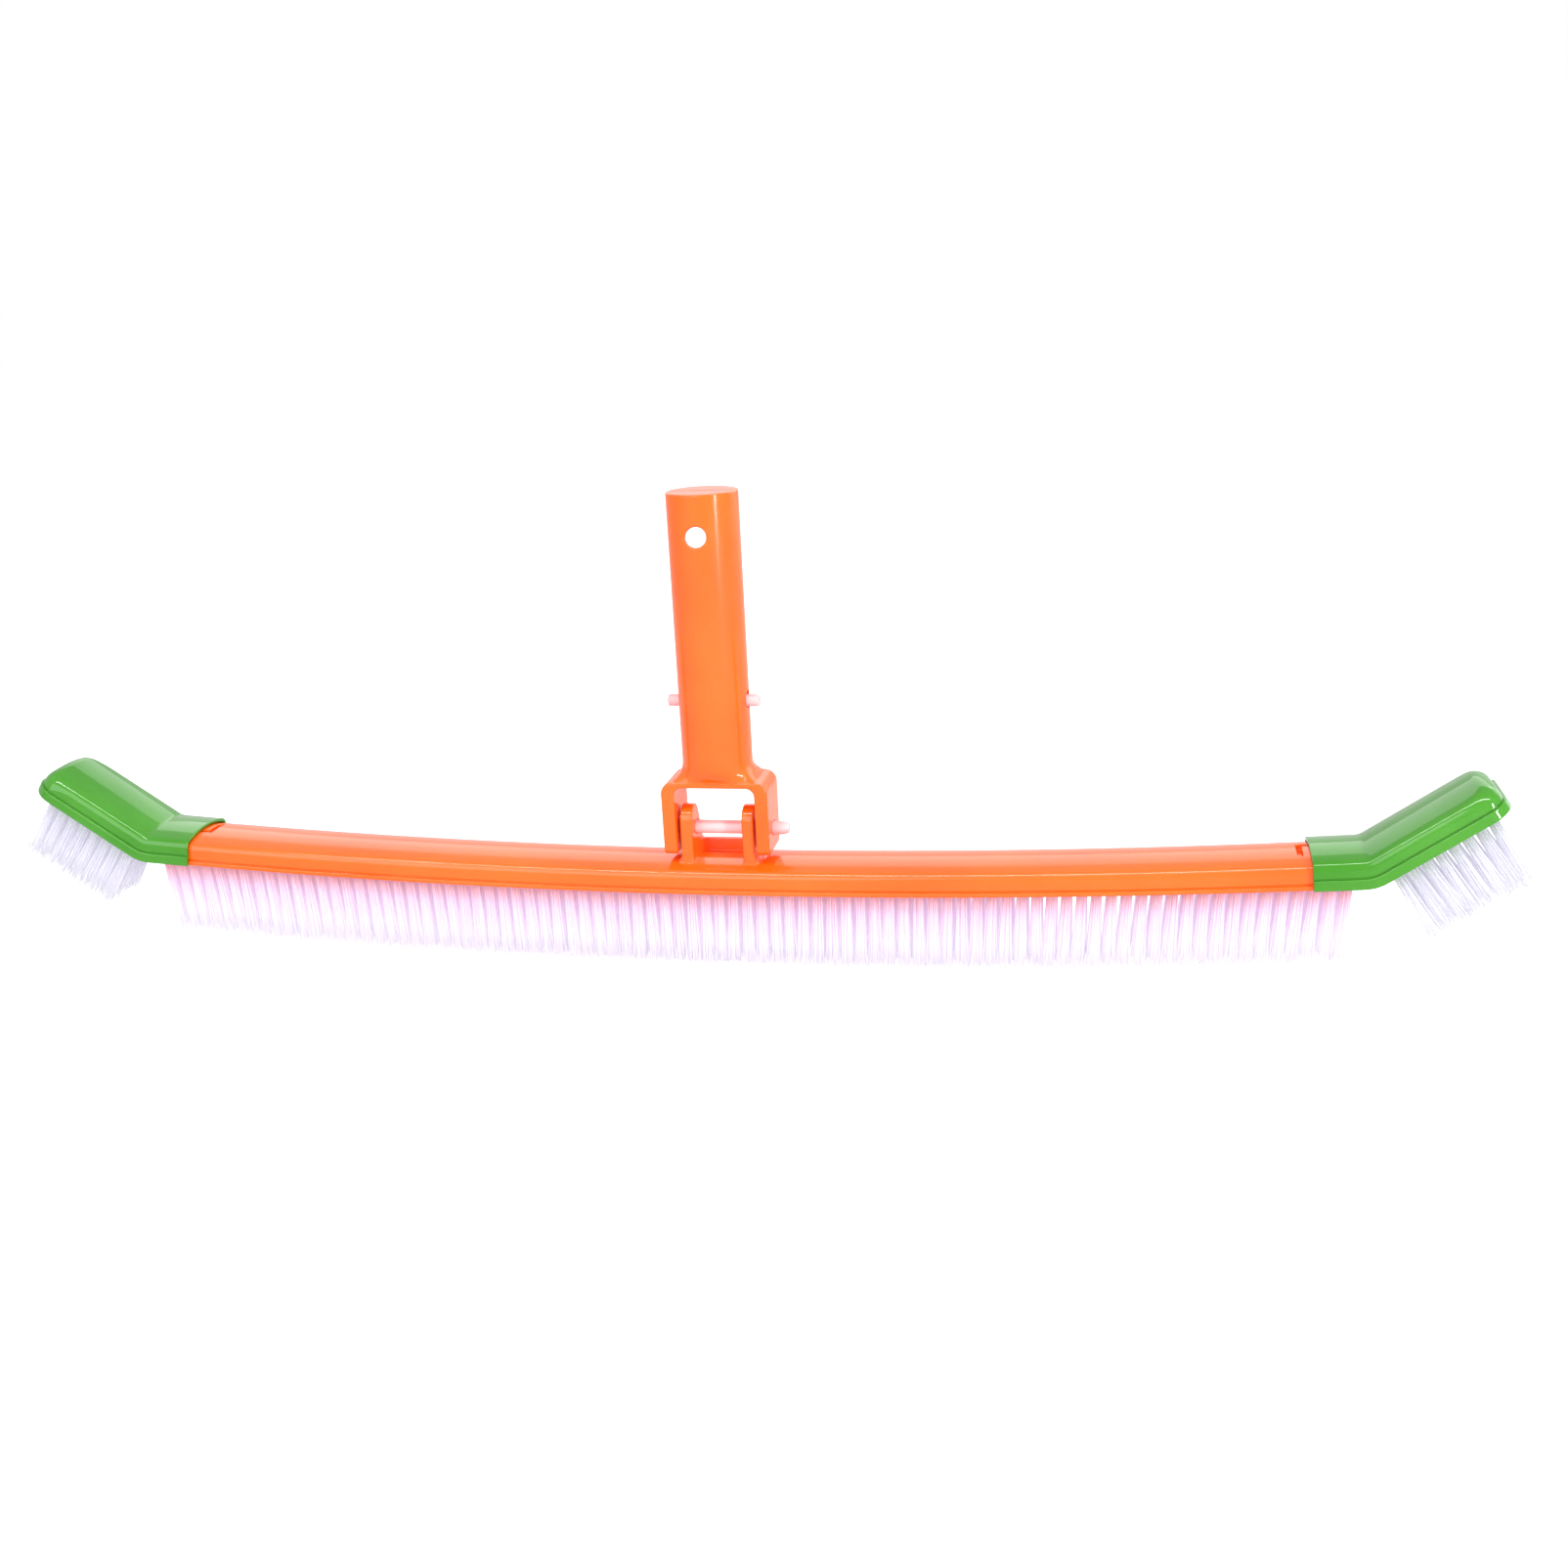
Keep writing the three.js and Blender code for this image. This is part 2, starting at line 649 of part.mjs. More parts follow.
function addCapBristles(group, side) {
  const wing = new THREE.Group();
  wing.position.set(wingStart.x, 0, wingStart.y);
  wing.rotation.y = -bendTo;
  group.add(wing);
  const middle = capTuftInset + ((capTuftCount - 1) * capTuftPitch) / 2;
  const place = (along, depth) => new THREE.Vector2(middle + along, -depth);
  const outline = tuftRow(capTuftCount, capTuftPitch, capTuftLength, sectionGap / 2, place);
  rowDepths(tuftRows, capRowSpacing).forEach((depth, row) => {
    wing.add(part(`cap_bristle_${side}_row_${row + 1}`, slabY(outline, tuftWidth, depth), bristle));
  });
}

// ---------------------------------------------------------------- assembly

const brush = new THREE.Group();
brush.position.z = -(pinHeight + tubeTop);

brush.add(part('brush_back', brushBack(), orange));
addMainBristles(brush);

for (const [side, turn] of [['right', 0], ['left', Math.PI]]) {
  const end = new THREE.Group();
  end.rotation.z = turn;
  end.add(part(`end_cap_${side}`, endCap(), green));
  addCapBristles(end, side);
  brush.add(end);
}

const hinge = new THREE.Group();
hinge.position.z = pinHeight;
hinge.add(part('handle', handle(), orange));
hinge.add(part('hinge_pin', hingePin(), nylon));
hinge.add(part('clip_bend', clipBend(), nylon));
for (const [side, turn] of [['right', 0], ['left', Math.PI]]) {
  const leg = part(`clip_leg_${side}`, clipLeg(), nylon);
  leg.rotation.z = turn;
  hinge.add(leg);
}
brush.add(hinge);

export default brush;
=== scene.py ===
import math
import random

import bpy
import numpy as np
from mathutils import Matrix, Vector


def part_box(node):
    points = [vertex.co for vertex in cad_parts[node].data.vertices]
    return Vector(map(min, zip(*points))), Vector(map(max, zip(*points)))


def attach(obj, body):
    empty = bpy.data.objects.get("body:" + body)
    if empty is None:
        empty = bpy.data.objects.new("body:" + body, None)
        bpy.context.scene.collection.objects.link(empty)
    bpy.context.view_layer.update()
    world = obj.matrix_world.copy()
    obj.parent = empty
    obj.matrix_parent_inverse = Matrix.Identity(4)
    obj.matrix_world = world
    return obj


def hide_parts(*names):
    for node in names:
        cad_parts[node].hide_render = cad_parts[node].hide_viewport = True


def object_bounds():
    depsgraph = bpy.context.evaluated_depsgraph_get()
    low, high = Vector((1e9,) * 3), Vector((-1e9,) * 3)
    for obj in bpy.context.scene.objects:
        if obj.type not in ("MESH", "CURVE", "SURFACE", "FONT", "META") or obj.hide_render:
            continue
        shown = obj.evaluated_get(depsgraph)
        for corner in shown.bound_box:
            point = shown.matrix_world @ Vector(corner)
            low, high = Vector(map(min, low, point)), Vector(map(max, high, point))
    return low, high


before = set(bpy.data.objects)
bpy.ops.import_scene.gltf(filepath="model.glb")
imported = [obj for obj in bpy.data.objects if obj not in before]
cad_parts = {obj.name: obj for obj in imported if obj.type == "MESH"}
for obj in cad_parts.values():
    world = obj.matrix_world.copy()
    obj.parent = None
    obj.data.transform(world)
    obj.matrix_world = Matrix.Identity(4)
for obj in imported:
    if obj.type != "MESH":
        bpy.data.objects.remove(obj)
cad_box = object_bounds()

MM = 0.001

# ---------------------------------------------------------------- sizes, in millimetres

ARC_RADIUS = 3500.0
BACK_HALF_LENGTH = 250.0
BACK_HALF_WIDTH = 16.8
BACK_HEIGHT = 11.6
BACK_SHOULDER = 8.7
BACK_LIP_HEIGHT = 1.8
BACK_LIP_STEP = 0.7
BACK_DRAFT = 0.4

EAR_INNER = 10.4
EAR_THICKNESS = 5.0
EAR_FRONT = 9.0
EAR_TOP_RADIUS = 6.5
EAR_TOP_RISE = 4.0
EAR_SLOPE = math.radians(21.7)
EAR_FOOT_REACH = 1.2
WEB_HALF_WIDTH = EAR_INNER + EAR_THICKNESS / 2
WEB_BACK = 8.5
WEB_THICKNESS = 3.0
WEB_TOP = BACK_HEIGHT + 5.1

ARM_INNER = 16.55
ARM_OUTER = 21.95
YOKE_HALF_DEPTH = 11.0
YOKE_RISE = 21.9
YOKE_DROP = 8.9
WINDOW_TOP = 19.5
FLARE_HEIGHT = 8.0
FLARE_SWEEP = 2.4  # power that draws the flare's concave curve
FLARE_HALF_WIDTH = ARM_OUTER - 4.6
FLARE_CORNER = 3.0
FLARE_OVERLAP = 1.2  # depth that the flare reaches into the yoke
TUBE_RADIUS = 14.25
BORE_RADIUS = 11.5
BORE_LOW = 27.9
TUBE_TOP = 137.4
BORE_HIGH = TUBE_TOP - 3.0
PARTING_HALF_WIDTH = 0.3
PARTING_HALF_LENGTH = 12.6
PARTING_DEPTH = 0.5
POLE_HOLE_RADIUS = 4.1
POLE_HOLE_DEPTH = 16.1
POLE_HOLE_TURN = math.radians(14)
POLE_HOLE_TILT = math.radians(8.6)
PIN_RADIUS = 2.8
PIN_HOLE_RADIUS = 3.1
PIN_HEAD_RADIUS = 4.0
PIN_HEAD_THICKNESS = 1.4
PIN_TIP_LENGTH = 6.6

BUTTON_HEIGHT = 53.6
BUTTON_RADIUS = 2.5
BUTTON_HOLE_RADIUS = 3.1
BUTTON_SWING = 1.3
BUTTON_PROUD = 4.5
CLIP_WIDTH = 8.0
CLIP_THICKNESS = 2.0
CLIP_PIVOT = 32.0
LEG_MIDDLE = math.sqrt(BORE_RADIUS**2 - (CLIP_WIDTH / 2) ** 2) - 0.45 - CLIP_THICKNESS / 2

CAP_OPENING = BACK_HALF_LENGTH - 17.3
CAP_BEND_START = BACK_HALF_LENGTH + 1.0
CAP_BEND_ANGLE = math.radians(30)
CAP_BEND_RADIUS = 17.0
CAP_HALF_WIDTH = 17.6
CAP_LIP_STEP = 0.8
CAP_LIP_HEIGHT = 4.2
CAP_HEIGHT = 13.2
CAP_SHOULDER = 10.3
WING_LENGTH = 51.5
WING_CORNER = 9.0
CLEARANCE = 0.3

TUFT_PITCH = 5.85
TUFT_LENGTH = 31.6
TUFT_FOCUS = 2900.0
TUFT_RADIUS = 2.1
TUFTS_PER_SECTION = 17
SECTION_COUNT = 5
ROW_COUNT = 4
ROW_SPACING = 7.4
CAP_TUFT_COUNT = 8
CAP_TUFT_PITCH = 5.6
CAP_TUFT_LENGTH = 31.0
CAP_TUFT_INSET = 3.8
CAP_ROW_SPACING = 6.2

# Heights in the row frame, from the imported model
PIN_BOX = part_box("hinge_pin")
HINGE_Z = (PIN_BOX[0].z + PIN_BOX[1].z) / 2 / MM
UNDERSIDE_Z = HINGE_Z - 23.8


# ---------------------------------------------------------------- solid fields
# A field is negative inside its solid and about equal to the distance from its surface.

def union(a, b, radius):
    """Joins two fields with a fillet of that radius."""
    u = np.maximum(radius - a, 0)
    v = np.maximum(radius - b, 0)
    return np.maximum(radius, np.minimum(a, b)) - np.hypot(u, v)


def common(a, b, radius):
    """What two fields share, its edge rounded to that radius."""
    u = np.maximum(radius + a, 0)
    v = np.maximum(radius + b, 0)
    return np.minimum(-radius, np.maximum(a, b)) + np.hypot(u, v)


def cut(a, tool, radius):
    """Takes the tool out of a field, with the hole's edge rounded to that radius."""
    return common(a, -tool, radius)


def between(v, low, high):
    return np.abs(v - (low + high) / 2) - (high - low) / 2


def smoothstep(low, high, v):
    t = np.clip((v - low) / (high - low), 0, 1)
    return t * t * (3 - 2 * t)


def rounded_rect(u, v, half_u, half_v, radius):
    qu = np.abs(u) - half_u + radius
    qv = np.abs(v) - half_v + radius
    outside = np.hypot(np.maximum(qu, 0), np.maximum(qv, 0))
    return outside + np.minimum(np.maximum(qu, qv), 0) - radius


def graded(start, *stretches):
    """Grid lines from start through (end, pitch) stretches, finer where the shape needs it."""
    lines = [start]
    for end, pitch in stretches:
        count = max(1, round((end - lines[-1]) / pitch))
        lines += list(np.linspace(lines[-1], end, count + 1)[1:])
    return np.array(lines)


def mirrored(*stretches):
    """The same grid lines on both sides of zero."""
    half = graded(0.0, *stretches)
    return np.concatenate([-half[:0:-1], half])


def surface(field, grid):
    """Points and quads on a field's zero level: one point in each grid cell that the surface crosses."""
    corners = np.meshgrid(*grid, indexing="ij")
    values = field(*corners)
    total = np.zeros([len(g) - 1 for g in grid] + [3])
    hits = np.zeros([len(g) - 1 for g in grid])
    crossings = []
    for axis in range(3):
        low = [slice(None)] * 3
        high = [slice(None)] * 3
        low[axis], high[axis] = slice(None, -1), slice(1, None)
        a, b = values[tuple(low)], values[tuple(high)]
        crossed = (a < 0) != (b < 0)
        share = np.where(crossed, a / np.where(crossed, a - b, 1), 0)
        crossings.append((crossed, a < 0))
        others = [k for k in range(3) if k != axis]
        for first in (0, 1):
            for second in (0, 1):
                pick = [slice(None)] * 3
                for k, offset in zip(others, (first, second)):
                    pick[k] = slice(offset, len(grid[k]) - 1 + offset)
                here = crossed[tuple(pick)]
                hits += here
                for k in range(3):
                    start = corners[k][tuple(low)][tuple(pick)]
                    if k == axis:
                        end = corners[k][tuple(high)][tuple(pick)]
                        start = start + (end - start) * share[tuple(pick)]
                    total[..., k] += np.where(here, start, 0)
    used = hits > 0
    number = np.full(used.shape, -1)
    number[used] = np.arange(used.sum())
    points = total[used] / hits[used][:, None]
    quads = []
    for axis, (crossed, inside) in enumerate(crossings):
        one, two = [k for k in range(3) if k != axis]
        i = np.argwhere(crossed)
        solid_low = inside[tuple(i.T)]
        ring = []
        for d_one, d_two in ((-1, -1), (0, -1), (0, 0), (-1, 0)):
            cell = i.copy()
            cell[:, one] += d_one
            cell[:, two] += d_two
            ring.append(number[tuple(cell.T)])
        quad = np.stack(ring, 1)
        flip = solid_low == (axis == 1)
        quad[flip] = quad[flip][:, ::-1]
        quads.append(quad)
    return seated(field, points, grid), np.concatenate(quads)


def seated(field, points, grid, passes=5, reach=0.01):
    """The points moved onto the field's zero level along its slope."""
    longest = 0.5 * min(np.diff(g).min() for g in grid)
    for _ in range(passes):
        value = field(*points.T)
        slope = np.empty_like(points)
        for k in range(3):
            ahead, behind = points.copy(), points.copy()
            ahead[:, k] += reach
            behind[:, k] -= reach
            slope[:, k] = (field(*ahead.T) - field(*behind.T)) / (2 * reach)
        step = value[:, None] * slope / np.maximum((slope**2).sum(1), 0.05)[:, None]
        size = np.linalg.norm(step, axis=1)
        points = points - step * np.minimum(1, longest / np.maximum(size, 1e-9))[:, None]
    return points


def make_piece(name, points, faces, body, nodes, material):
    """A smooth mesh piece from points in millimetres in the row frame."""
    mesh = bpy.data.meshes.new(name)
    mesh.from_pydata((np.asarray(points) * MM).tolist(), [], np.asarray(faces).tolist())
    mesh.polygons.foreach_set("use_smooth", np.ones(len(mesh.polygons), bool))
    mesh.materials.append(material)
    mesh.update()
    piece = bpy.data.objects.new(name, mesh)
    bpy.context.scene.collection.objects.link(piece)
    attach(piece, body)
    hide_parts(*nodes)
    return piece


# ---------------------------------------------------------------- materials

def new_material(name):
    material = bpy.data.materials.new(name)
    material.use_nodes = True
    tree = material.node_tree
    shader = tree.nodes["Principled BSDF"]
    return material, tree, shader


def noise(tree, scale, detail=3.0, stretch=(1, 1, 1)):
    """Noise in the row frame, in cycles per metre, stretched along an axis where a share is below 1."""
    place = tree.nodes.new("ShaderNodeTexCoord")
    mapping = tree.nodes.new("ShaderNodeMapping")
    mapping.inputs["Scale"].default_value = stretch
    texture = tree.nodes.new("ShaderNodeTexNoise")
    texture.inputs["Scale"].default_value = scale
    texture.inputs["Detail"].default_value = detail
    tree.links.new(place.outputs["Object"], mapping.inputs["Vector"])
    tree.links.new(mapping.outputs["Vector"], texture.inputs["Vector"])
    return texture.outputs["Fac"]


def ramp(tree, value, stops):
    node = tree.nodes.new("ShaderNodeValToRGB")
    elements = node.color_ramp.elements
    while len(elements) < len(stops):
        elements.new(0.5)
    for element, (place, colour) in zip(elements, stops):
        element.position = place
        element.color = (*colour, 1)
    tree.links.new(value, node.inputs["Fac"])
    return node.outputs["Color"]


def remap(tree, value, low, high, to_low, to_high):
    node = tree.nodes.new("ShaderNodeMapRange")
    for key, number in (("From Min", low), ("From Max", high), ("To Min", to_low), ("To Max", to_high)):
        node.inputs[key].default_value = number
    tree.links.new(value, node.inputs["Value"])
    return node.outputs["Result"]


def bump(tree, shader, value, strength, distance):
    node = tree.nodes.new("ShaderNodeBump")
    node.inputs["Strength"].default_value = strength
    node.inputs["Distance"].default_value = distance
    tree.links.new(value, node.inputs["Height"])
    tree.links.new(node.outputs["Normal"], shader.inputs["Normal"])


def moulded_plastic(name, dark, light, roughness, grain, subsurface, glow):
    """Coloured injection-moulded plastic: soft flow marks in its colour, fine skin texture, uneven gloss."""
    material, tree, shader = new_material(name)
    flow = noise(tree, 45, 4, (0.35, 1, 0.6))
    tree.links.new(ramp(tree, flow, [(0.3, dark), (0.7, light)]), shader.inputs["Base Color"])
    wear = noise(tree, 160, 5)
    tree.links.new(remap(tree, wear, 0.3, 0.7, roughness[0], roughness[1]), shader.inputs["Roughness"])
    bump(tree, shader, noise(tree, 700, 3), grain, 0.00002)
    shader.inputs["IOR"].default_value = 1.49
    if subsurface:
        shader.inputs["Subsurface Weight"].default_value = subsurface
        shader.inputs["Subsurface Radius"].default_value = glow
        shader.inputs["Subsurface Scale"].default_value = 0.002
    return material


def bristle_with_painted_glow(name, root, middle, tip):
    """Clear nylon filament that lets light through; its root colour is a painted reflection of its
    mounting's colour, and it has a painted glow that grows towards the tips.
    """
    material, tree, shader = new_material(name)
    depth = tree.nodes.new("ShaderNodeAttribute")
    depth.attribute_name = "depth"
    streak = noise(tree, 700, 2, (1, 1, 0.08))
    mixed = tree.nodes.new("ShaderNodeMath")
    mixed.operation = "MULTIPLY_ADD"
    mixed.inputs[1].default_value = 0.22
    tree.links.new(streak, mixed.inputs[0])
    tree.links.new(depth.outputs["Fac"], mixed.inputs[2])
    # the ramp's root colour is a painted reflection of the mounting's colour; it fades towards the nylon's
    # own near-white colour at the tips
    colour = ramp(tree, mixed.outputs["Value"], [(0.08, root), (0.45, middle), (0.95, tip)])
    tree.links.new(colour, shader.inputs["Base Color"])
    # painted glow: the filament colour is emitted, stronger towards the tips, and stands in for light
    # carried along the clear nylon
    tree.links.new(colour, shader.inputs["Emission Color"])
    tree.links.new(remap(tree, depth.outputs["Fac"], 0, 1, 0.24, 0.34), shader.inputs["Emission Strength"])
    tree.links.new(remap(tree, streak, 0.3, 0.7, 0.28, 0.42), shader.inputs["Roughness"])
    through = tree.nodes.new("ShaderNodeBsdfTranslucent")
    tree.links.new(colour, through.inputs["Color"])
    blend = tree.nodes.new("ShaderNodeMixShader")
    blend.inputs["Fac"].default_value = 0.45
    output = tree.nodes["Material Output"]
    tree.links.new(shader.outputs["BSDF"], blend.inputs[1])
    tree.links.new(through.outputs["BSDF"], blend.inputs[2])
    tree.links.new(blend.outputs["Shader"], output.inputs["Surface"])
    return material


ORANGE = moulded_plastic(
    "orange_moulded", (0.95, 0.115, 0.004), (1.0, 0.145, 0.009), (0.11, 0.16), 0.12, 0.1, (1, 0.2, 0.03))
GREEN = moulded_plastic(
    "green_moulded", (0.035, 0.23, 0.004), (0.07, 0.31, 0.022), (0.05, 0.08), 0.08, 0.08, (0.3, 1, 0.1))
NYLON = moulded_plastic(
    "natural_nylon", (0.92, 0.50, 0.52), (0.94, 0.60, 0.62), (0.3, 0.42), 0.2, 0.4, (1, 0.45, 0.4))
# root colour: a painted pink reflection of the orange back
MAIN_BRISTLE = bristle_with_painted_glow(
    "bristle_main", (1.0, 0.70, 0.78), (0.96, 0.86, 0.97), (0.95, 0.92, 0.99))
# root colour: a painted green reflection of the green cap
CAP_BRISTLE = bristle_with_painted_glow(
    "bristle_cap", (0.85, 0.88, 0.87), (0.87, 0.86, 0.92), (0.88, 0.87, 0.93))


# ---------------------------------------------------------------- brush back

def loaf(y, n, half_width, lip_height, lip_step, draft, height, shoulder, radius):
    """Section of a domed bar above its underside, without its lip."""
    wall = half_width - lip_step
    top = wall - draft
    rise = height - shoulder
    dome_radius = (top * top + rise * rise) / (2 * rise)
    side = np.abs(y) - wall + draft * np.clip((n - lip_height) / (shoulder - lip_height), 0, 1)
    dome = np.hypot(y, n - height + dome_radius) - dome_radius
    return common(side, dome, radius)


def ear_side(y, z):
    """Side outline of an ear, z above the back's underside: upright front, round top, sloping rear."""
    centre_y = EAR_TOP_RADIUS - EAR_FRONT
    centre_z = 23.8 + EAR_TOP_RISE
    v, w = y - centre_y, z - centre_z
    turn = np.arctan2(w, v)
    round_top = np.hypot(v, w) - EAR_TOP_RADIUS
    rear = v * math.cos(EAR_SLOPE) + w * math.sin(EAR_SLOPE) - EAR_TOP_RADIUS
    flat = np.maximum(-v - EAR_TOP_RADIUS, rear)
    return np.where(turn > EAR_SLOPE, round_top, flat)


def latch_slots(s, y, n):
    """L-shaped slot beside the springy tab at both ends, each a half turn of the other."""
    slots = []
    for side in (1, -1):
        u, v = s * side, y * side
        start = CAP_OPENING - 4.6
        long_leg = np.maximum(between(u, start, 300), between(v, 2.5, 4.7))
        short_leg = np.maximum(between(u, start, start + 2.2), between(v, -7.4, 4.7))
        slots.append(np.maximum(np.minimum(long_leg, short_leg), BACK_HEIGHT - 2.5 - n))
    return np.minimum(*slots)


def back_field(s, y, n):
    """The back in arc coordinates: along its underside, across, and above it."""
    lip = common(np.abs(y) - BACK_HALF_WIDTH, n - BACK_LIP_HEIGHT, 0.4)
    body = loaf(y, n, BACK_HALF_WIDTH, BACK_LIP_HEIGHT, BACK_LIP_STEP, BACK_DRAFT, BACK_HEIGHT,
                BACK_SHOULDER, 2.2)
    wall = np.abs(y) - BACK_HALF_WIDTH + BACK_LIP_STEP
    groove = np.maximum(between(n, BACK_LIP_HEIGHT - 0.1, BACK_LIP_HEIGHT + 0.6), -0.4 - wall)
    bar = common(union(lip, cut(body, groove, 0.1), 0.1), -n, 0.4)
    bar = common(bar, np.abs(s) - BACK_HALF_LENGTH, 0.8)
    ear = common(ear_side(y, n), between(np.abs(s), EAR_INNER, EAR_INNER + EAR_THICKNESS), 0.6)
    ear = np.maximum(ear, 2 - n)
    foot_outer = EAR_INNER + EAR_THICKNESS + EAR_FOOT_REACH
    foot = common(between(np.abs(s), EAR_INNER, foot_outer), between(y, -EAR_FRONT, EAR_FRONT - 2), 0.5)
    foot = np.maximum(common(foot, n - BACK_HEIGHT - 0.05, 0.4), 2 - n)
    web = common(np.abs(s) - WEB_HALF_WIDTH, between(y, WEB_BACK - WEB_THICKNESS, WEB_BACK), 0.4)
    web = np.maximum(common(web, n - WEB_TOP, 0.5), 2 - n)
    whole = union(union(bar, foot, 0.2), union(ear, web, 0.5), 0.3)
    whole = cut(whole, np.hypot(y, n - 23.8) - PIN_HOLE_RADIUS, 0.35)
    return cut(whole, latch_slots(s, y, n), 0.25)


def from_arc(points):
    """Arc coordinates to the head's own frame."""
    turn = points[:, 0] / ARC_RADIUS
    radius = ARC_RADIUS - points[:, 2]
    return np.stack([radius * np.sin(turn), points[:, 1], ARC_RADIUS - radius * np.cos(turn)], 1)


def build_back():
    grid = (
        mirrored((8.4, 1.4), (24, 0.4), (224, 2.5), (236, 0.4), (252, 0.8)),
        mirrored((3.2, 0.64), (6.8, 0.4), (12.6, 0.6), (17.4, 0.3)),
        graded(-0.6, (1.4, 0.3), (2.7, 0.15), (7.4, 0.6), (13.4, 0.35), (35, 0.42)),
    )
    points, quads = surface(back_field, grid)
    points = from_arc(points) + (0, 0, UNDERSIDE_Z)
    return make_piece("back_moulding", points, quads, "head", ["brush_back"], ORANGE)


# ---------------------------------------------------------------- end caps

BEND_FROM = math.asin(CAP_BEND_START / ARC_RADIUS)
BEND_TO = BEND_FROM + CAP_BEND_ANGLE
BEND_LENGTH = CAP_BEND_RADIUS * CAP_BEND_ANGLE
SLEEVE_LENGTH = ARC_RADIUS * (BEND_FROM - math.asin(CAP_OPENING / ARC_RADIUS))
CAP_LENGTH = WING_LENGTH + BEND_LENGTH + SLEEVE_LENGTH


def wing_plan(s, y, inset):
    """Plan outline of the cap, s from the wing's tip, drawn in by an inset."""
    corner = WING_CORNER - inset
    half = CAP_HALF_WIDTH + CAP_LIP_STEP - inset
    qs = inset + corner - s
    qy = np.abs(y) - half + corner
    outside = np.hypot(np.maximum(qs, 0), np.maximum(qy, 0))
    return outside + np.minimum(np.maximum(qs, qy), 0) - corner


def cap_field(s, y, n):
    """A cap along its own path: from the wing's tip, across, and above its underside."""
    lean = BACK_DRAFT * np.clip((n - CAP_LIP_HEIGHT) / (CAP_SHOULDER - CAP_LIP_HEIGHT), 0, 1)
    wall = wing_plan(s, y, CAP_LIP_STEP) + lean
    top = CAP_HALF_WIDTH - BACK_DRAFT
    rise = CAP_HEIGHT - CAP_SHOULDER
    dome_radius = (top * top + rise * rise) / (2 * rise)
    dome = np.hypot(y, n - CAP_HEIGHT + dome_radius) - dome_radius
    body = common(wall, dome, 2.6 + 3.6 * (1 - smoothstep(2, 16, s)))
    groove = np.maximum(between(n, CAP_LIP_HEIGHT - 0.1, CAP_LIP_HEIGHT + 0.5), -0.4 - wall)
    body = cut(body, groove, 0.12)
    lip = common(wing_plan(s, y, 0), n - CAP_LIP_HEIGHT, 0.6)
    cap = common(union(lip, body, 0.1), -n, 0.5)
    hollow_side = np.abs(y) - BACK_HALF_WIDTH - CLEARANCE
    hollow_lip = np.maximum(hollow_side, n - BACK_LIP_HEIGHT - CLEARANCE)
    hollow_body = loaf(y, n, BACK_HALF_WIDTH + CLEARANCE, BACK_LIP_HEIGHT, BACK_LIP_STEP, BACK_DRAFT,
                       BACK_HEIGHT + 0.4, BACK_SHOULDER + 0.4, 1.6)
    start = WING_LENGTH + BEND_LENGTH + CAP_BEND_START - BACK_HALF_LENGTH - CLEARANCE
    hollow = np.maximum(np.minimum(hollow_lip, hollow_body), start - s)
    cap = cut(cap, hollow, 0.25)
    return common(cap, s - CAP_LENGTH, 0.25)


def from_cap_path(points):
    """Cap coordinates to the head's own frame, at the right end."""
    s, y, n = points.T
    beyond = np.maximum(WING_LENGTH - s, 0)
    on_bend = np.clip(s - WING_LENGTH, 0, BEND_LENGTH)
    on_sleeve = np.maximum(s - WING_LENGTH - BEND_LENGTH, 0)
    turn = BEND_TO - on_bend / CAP_BEND_RADIUS - on_sleeve / ARC_RADIUS
    centre = Vector((CAP_BEND_START, 0, ARC_RADIUS * (1 - math.cos(BEND_FROM))))
    centre += CAP_BEND_RADIUS * Vector((-math.sin(BEND_FROM), 0, math.cos(BEND_FROM)))
    bent_x = centre.x + CAP_BEND_RADIUS * np.sin(turn) + beyond * math.cos(BEND_TO)
    bent_z = centre.z - CAP_BEND_RADIUS * np.cos(turn) + beyond * math.sin(BEND_TO)
    arc_x = ARC_RADIUS * np.sin(turn)
    arc_z = ARC_RADIUS * (1 - np.cos(turn))
    x = np.where(on_sleeve > 0, arc_x, bent_x) - n * np.sin(turn)
    z = np.where(on_sleeve > 0, arc_z, bent_z) + n * np.cos(turn)
    return np.stack([x, y, z], 1)


def half_turned(points):
    """Points turned by half a turn about the upright axis."""
    return points * (-1, -1, 1)


def build_caps():
    grid = (
        graded(-0.8, (1.6, 0.3), (12, 0.45), (WING_LENGTH, 0.9), (CAP_LENGTH - 1, 0.6),
               (CAP_LENGTH + 0.8, 0.2)),
        mirrored((10, 0.7), (15, 0.45), (19.2, 0.22)),
        graded(-0.8, (3.7, 0.3), (5.1, 0.14), (8, 0.4), (14, 0.3)),
    )
    points, quads = surface(cap_field, grid)
    right = from_cap_path(points)
    for side, shape in (("right", right), ("left", half_turned(right))):
        shape = shape + (0, 0, UNDERSIDE_Z)
        make_piece(f"cap_{side}_moulding", shape, quads, "head", [f"end_cap_{side}"], GREEN)


# ---------------------------------------------------------------- handle

def yoke_field(x, y, z):
    middle = (YOKE_RISE - YOKE_DROP - 12) / 2
    outer = rounded_rect(x, z - middle, ARM_OUTER, YOKE_RISE - middle, 5)
    inner = rounded_rect(x, z + 40, ARM_INNER, WINDOW_TOP + 40, 3.5)
    frame_shape = cut(outer, inner, 0.1)
    side = rounded_rect(y, z - 20, YOKE_HALF_DEPTH, YOKE_DROP + 20, 2.5)
    return common(frame_shape, side, 0.7)


